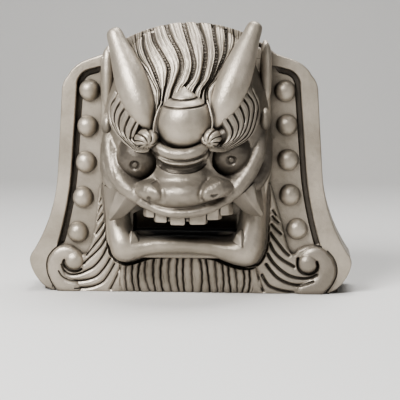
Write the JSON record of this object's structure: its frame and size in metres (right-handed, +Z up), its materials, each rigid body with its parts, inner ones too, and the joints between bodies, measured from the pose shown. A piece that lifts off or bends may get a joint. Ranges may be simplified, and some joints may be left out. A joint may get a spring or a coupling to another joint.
{
  "type": "onigawara roof tile",
  "caption": "Smoked-clay ridge-end tile with a horned demon face, forehead jewel, open mouth, beard, studs down both sides, flared feet and a hollow back",
  "frame": {"origin": "on the flat underside, below the middle of the bounding box", "axes": "-Y is the front, which the face looks along; +X is to the viewer's right; +Z is up"},
  "size_m": [0.242, 0.112, 0.201],
  "materials": {
    "smoked_clay": "unglazed clay smoked silver grey, with a soft metallic sheen and a fine grain"
  },
  "bodies": {
    "root": {"onigawara_tile": "smoked_clay"}
  },
  "joints": []
}
